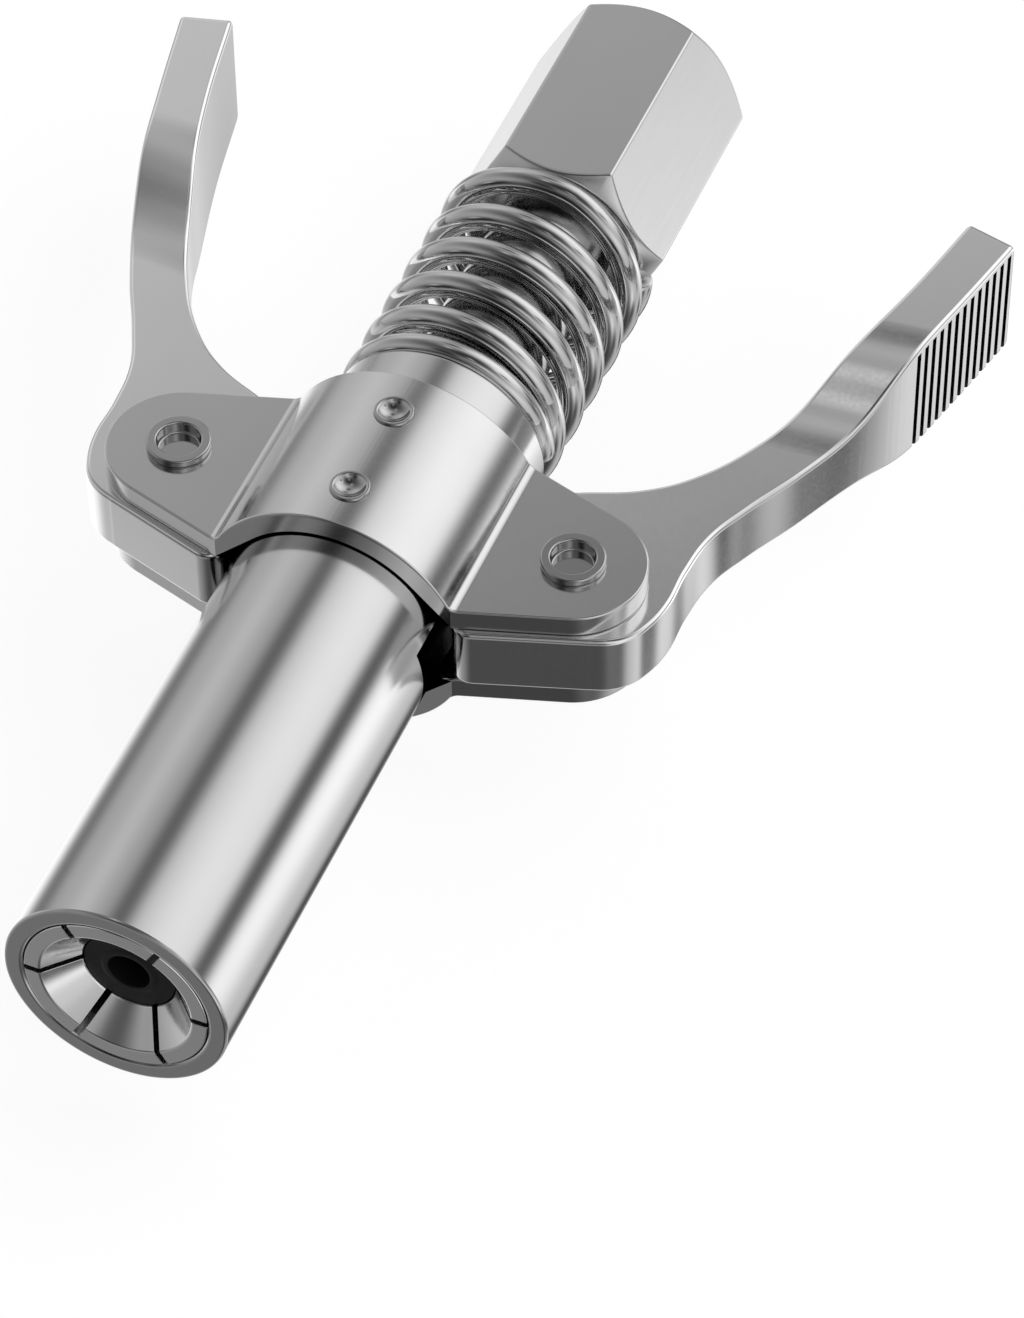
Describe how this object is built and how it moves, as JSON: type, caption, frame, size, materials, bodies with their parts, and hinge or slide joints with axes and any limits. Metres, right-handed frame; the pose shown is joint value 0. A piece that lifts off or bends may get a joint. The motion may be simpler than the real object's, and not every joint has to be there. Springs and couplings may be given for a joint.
{
  "type": "grease coupler",
  "caption": "Quick-release grease coupler: squeezing two riveted levers slides a sleeve back along a spring-loaded core, so jaws in its mouth open round a grease nipple.",
  "frame": {"origin": "on the coupler's axis, at the start of the inlet thread's full bore, just inside the hex end's countersink", "axes": "+Y along the axis and out of the inlet, so the nozzle points to -Y; +X from the axis to the right lever; +Z out of the front bracket"},
  "size_m": [0.0658, 0.0944, 0.0198],
  "materials": {
    "plated_sleeve": "bright nickel plate over turned steel",
    "plated_bracket": "bright nickel plate over pressed sheet steel",
    "plated_lever": "nickel plate over cast and machined steel",
    "plated_hex": "bright nickel plate over hexagon bar",
    "plated_rivet": "nickel plate over rolled steel",
    "spring_steel": "drawn and nickel plated spring wire",
    "hardened_jaw": "hardened steel, ground funnel",
    "core_steel": "turned steel",
    "ball_steel": "polished bearing steel",
    "black_rubber": "moulded black nitrile rubber",
    "washer_copper": "soft sealing washer, turned"
  },
  "bodies": {
    "core": {"hex_adapter": "plated_hex", "core_tube": "core_steel", "jaw_carrier": "core_steel", "carrier_washer": "washer_copper", "socket_washer": "washer_copper", "follower_o_ring": "black_rubber", "jaw_spreader_ring": "spring_steel", "main_spring": "spring_steel", "seal_spring": "spring_steel", "check_spring": "spring_steel"},
    "sleeve": {"outer_sleeve": "plated_sleeve", "bracket_front": "plated_bracket", "bracket_rear": "plated_bracket", "bracket_pins": "plated_rivet", "rivet_left": "plated_rivet", "rivet_right": "plated_rivet"},
    "lever_left_body": {"lever_left": "plated_lever"},
    "lever_right_body": {"lever_right": "plated_lever"},
    "seal": {"nozzle_seal": "black_rubber", "backing_ring": "core_steel", "seal_follower": "core_steel"},
    "ball": {"check_ball": "ball_steel"},
    "jaw_1_body": {"jaw_1": "hardened_jaw"},
    "jaw_2_body": {"jaw_2": "hardened_jaw"},
    "jaw_3_body": {"jaw_3": "hardened_jaw"},
    "jaw_4_body": {"jaw_4": "hardened_jaw"},
    "jaw_5_body": {"jaw_5": "hardened_jaw"},
    "jaw_6_body": {"jaw_6": "hardened_jaw"}
  },
  "joints": [
    {"name": "sleeve_slide", "type": "slide", "parent": "core", "child": "sleeve", "axis": [0, 1, 0], "range_m": [0, 0.0026], "stiffness_N_per_m": 9270, "springref_m": -0.005, "deforming": ["main_spring"]},
    {"name": "lever_right_squeeze", "type": "hinge", "parent": "sleeve", "child": "lever_right_body", "pos_m": [0.0148, -0.05072, 0], "axis": [0, 0, 1], "range_deg": [0, 15.2]},
    {"name": "lever_left_squeeze", "type": "hinge", "parent": "sleeve", "child": "lever_left_body", "pos_m": [-0.0148, -0.05072, 0], "axis": [0, 0, -1], "range_deg": [0, 15.2]},
    {"name": "seal_slide", "type": "slide", "parent": "core", "child": "seal", "axis": [0, 1, 0], "range_m": [0, 0.0033], "stiffness_N_per_m": 1120, "springref_m": -0.003, "deforming": ["seal_spring"]},
    {"name": "ball_lift", "type": "slide", "parent": "core", "child": "ball", "axis": [0, -1, 0], "range_m": [0, 0.001], "stiffness_N_per_m": 1400, "springref_m": -0.001, "deforming": ["check_spring"]},
    {"name": "jaw_1_tilt", "type": "hinge", "parent": "core", "child": "jaw_1_body", "pos_m": [0.0039, -0.0783, 0.00225], "axis": [-0.5, 0, 0.866], "range_deg": [0, 2.15]},
    {"name": "jaw_2_tilt", "type": "hinge", "parent": "core", "child": "jaw_2_body", "pos_m": [0, -0.0783, 0.0045], "axis": [-1, 0, 0], "range_deg": [0, 2.15]},
    {"name": "jaw_3_tilt", "type": "hinge", "parent": "core", "child": "jaw_3_body", "pos_m": [-0.0039, -0.0783, 0.00225], "axis": [-0.5, 0, -0.866], "range_deg": [0, 2.15]},
    {"name": "jaw_4_tilt", "type": "hinge", "parent": "core", "child": "jaw_4_body", "pos_m": [-0.0039, -0.0783, -0.00225], "axis": [0.5, 0, -0.866], "range_deg": [0, 2.15]},
    {"name": "jaw_5_tilt", "type": "hinge", "parent": "core", "child": "jaw_5_body", "pos_m": [0, -0.0783, -0.0045], "axis": [1, 0, 0], "range_deg": [0, 2.15]},
    {"name": "jaw_6_tilt", "type": "hinge", "parent": "core", "child": "jaw_6_body", "pos_m": [0.0039, -0.0783, -0.00225], "axis": [0.5, 0, 0.866], "range_deg": [0, 2.15]}
  ],
  "couplings": [
    {"joint": "lever_right_squeeze", "follows": "sleeve_slide", "rad_per_m": 100.94},
    {"joint": "lever_left_squeeze", "follows": "sleeve_slide", "rad_per_m": 100.94},
    {"joint": "jaw_1_tilt", "follows": "sleeve_slide", "rad_per_m": 14.097},
    {"joint": "jaw_2_tilt", "follows": "sleeve_slide", "rad_per_m": 14.097},
    {"joint": "jaw_3_tilt", "follows": "sleeve_slide", "rad_per_m": 14.097},
    {"joint": "jaw_4_tilt", "follows": "sleeve_slide", "rad_per_m": 14.097},
    {"joint": "jaw_5_tilt", "follows": "sleeve_slide", "rad_per_m": 14.097},
    {"joint": "jaw_6_tilt", "follows": "sleeve_slide", "rad_per_m": 14.097}
  ]
}
